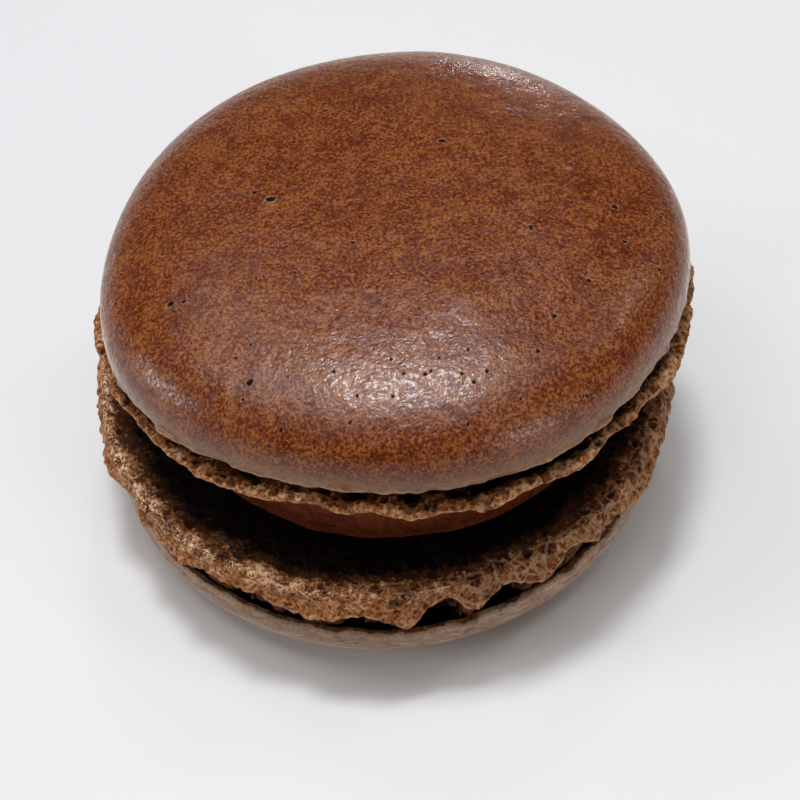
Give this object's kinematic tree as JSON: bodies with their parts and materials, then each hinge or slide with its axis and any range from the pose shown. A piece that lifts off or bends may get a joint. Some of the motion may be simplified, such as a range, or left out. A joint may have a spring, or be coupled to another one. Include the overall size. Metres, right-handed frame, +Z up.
{
  "type": "macaron",
  "caption": "Round chocolate macaron: two domed baked shells with ruffled feet, the upper one slightly tilted, on a thick ganache filling set well back from their edges.",
  "frame": {"origin": "centre of the small flat spot on the lower shell's crust that the macaron rests on", "axes": "+Z up through the two shells; the wide side of the gap, where the upper shell is raised, faces -Y and +X"},
  "size_m": [0.0507, 0.0516, 0.0301],
  "materials": {
    "baked_shell": "satin baked crust with a fine grain, rough and porous at the foot",
    "ganache": "smooth, slightly moist"
  },
  "bodies": {
    "root": {"bottom_shell": "baked_shell", "filling": "ganache", "top_shell": "baked_shell"}
  },
  "joints": []
}
